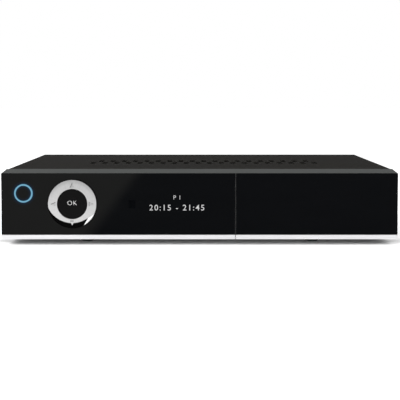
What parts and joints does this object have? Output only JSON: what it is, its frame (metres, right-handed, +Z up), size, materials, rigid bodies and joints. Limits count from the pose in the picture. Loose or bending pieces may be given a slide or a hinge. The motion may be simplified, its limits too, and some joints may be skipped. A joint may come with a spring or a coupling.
{
  "type": "satellite tv receiver",
  "caption": "Low wide set-top box with a glossy front, light ring standby button, tilting navigation ring, display, drop-down flap over a card bay, and sockets behind.",
  "frame": {"origin": "on the floor, under the middle of the object's width and of its whole depth", "axes": "+X to the right across the front, +Y from the front to the back, +Z up"},
  "size_m": [0.34, 0.244, 0.065],
  "materials": {
    "lid_paint": "satin",
    "fascia": "satin",
    "gloss_panel": "polished",
    "silver_trim": "satin",
    "ring_silver": "turned",
    "black_plastic": "satin",
    "ok_cap": "satin",
    "light_guide": "lit",
    "foot_rubber": "matte",
    "board": "satin",
    "tray_steel": "zinc plated",
    "cage_steel": "plain",
    "socket_metal": "nickel plated",
    "cooler": "plain",
    "screw_steel": "black",
    "display_glass": "polished",
    "ribbon": "plain",
    "winding_tape": "plain",
    "phono_yellow": "plain",
    "phono_white": "plain",
    "phono_red": "plain",
    "rocker": "satin",
    "switch_metal": "plain"
  },
  "bodies": {
    "chassis": {"fascia": "fascia", "front_panel": "gloss_panel", "trim_strip": "silver_trim", "display_module": "display_glass", "remote_eye": "display_glass", "switch_up": "switch_metal", "switch_down": "switch_metal", "switch_left": "switch_metal", "switch_right": "switch_metal", "switch_ok": "switch_metal", "switch_power": "switch_metal", "front_board": "board", "power_light_ring": "light_guide", "bay_bezel": "black_plastic", "module_cage": "cage_steel", "card_reader": "black_plastic", "usb_socket_front": "socket_metal", "base_tray": "tray_steel", "lid": "lid_paint", "foot_1": "foot_rubber", "foot_2": "foot_rubber", "foot_3": "foot_rubber", "foot_4": "foot_rubber", "side_screw_1": "screw_steel", "side_screw_2": "screw_steel", "side_screw_3": "screw_steel", "side_screw_4": "screw_steel", "rear_screw_1": "screw_steel", "rear_screw_2": "screw_steel", "rear_screw_3": "screw_steel", "main_board": "board", "power_supply_board": "board", "chip_cooler": "cooler", "transformer": "winding_tape", "filter_capacitor": "cooler", "ribbon_cable": "ribbon", "tuner_module": "socket_metal", "aerial_socket_1": "socket_metal", "aerial_socket_2": "socket_metal", "network_socket": "socket_metal", "usb_socket_rear": "socket_metal", "video_socket": "socket_metal", "optical_socket": "black_plastic", "phono_socket_yellow": "phono_yellow", "phono_socket_white": "phono_white", "phono_socket_red": "phono_red", "mains_inlet": "black_plastic", "mains_switch_housing": "black_plastic"},
    "flap": {"flap_panel": "gloss_panel", "flap_trim": "silver_trim", "flap_carrier": "black_plastic"},
    "standby": {"power_button": "gloss_panel"},
    "ok": {"ok_button": "ok_cap"},
    "gimbal": {"ring_gimbal": "black_plastic"},
    "ring": {"navigation_ring": "ring_silver", "ring_carrier": "black_plastic"},
    "eject_lower": {"eject_button_lower": "black_plastic"},
    "eject_upper": {"eject_button_upper": "black_plastic"},
    "rocker": {"mains_switch_rocker": "rocker"}
  },
  "joints": [
    {"name": "flap_hinge", "type": "hinge", "parent": "chassis", "child": "flap", "pos_m": [0.1, -0.113, 0.0095], "axis": [1, 0, 0], "range_deg": [0, 90]},
    {"name": "standby_press", "type": "slide", "parent": "chassis", "child": "standby", "axis": [0, 1, 0], "range_m": [0, 0.001], "stiffness_N_per_m": 600},
    {"name": "ok_press", "type": "slide", "parent": "chassis", "child": "ok", "axis": [0, 1, 0], "range_m": [0, 0.001], "stiffness_N_per_m": 600},
    {"name": "ring_tilt_sideways", "type": "hinge", "parent": "chassis", "child": "gimbal", "pos_m": [-0.1089, -0.1073, 0.0362], "axis": [0, 0, 1], "range_deg": [-1.5, 1.5], "stiffness_Nm_per_rad": 1.2},
    {"name": "ring_tilt_up_down", "type": "hinge", "parent": "gimbal", "child": "ring", "pos_m": [-0.1089, -0.1108, 0.0362], "axis": [1, 0, 0], "range_deg": [-1.5, 1.5], "stiffness_Nm_per_rad": 1.2},
    {"name": "eject_lower_press", "type": "slide", "parent": "chassis", "child": "eject_lower", "axis": [0, 1, 0], "range_m": [0, 0.003], "stiffness_N_per_m": 300},
    {"name": "eject_upper_press", "type": "slide", "parent": "chassis", "child": "eject_upper", "axis": [0, 1, 0], "range_m": [0, 0.003], "stiffness_N_per_m": 300},
    {"name": "mains_rock", "type": "hinge", "parent": "chassis", "child": "rocker", "pos_m": [-0.112, 0.107, 0.0239], "axis": [0, 0, 1], "range_deg": [-16, 0]}
  ]
}
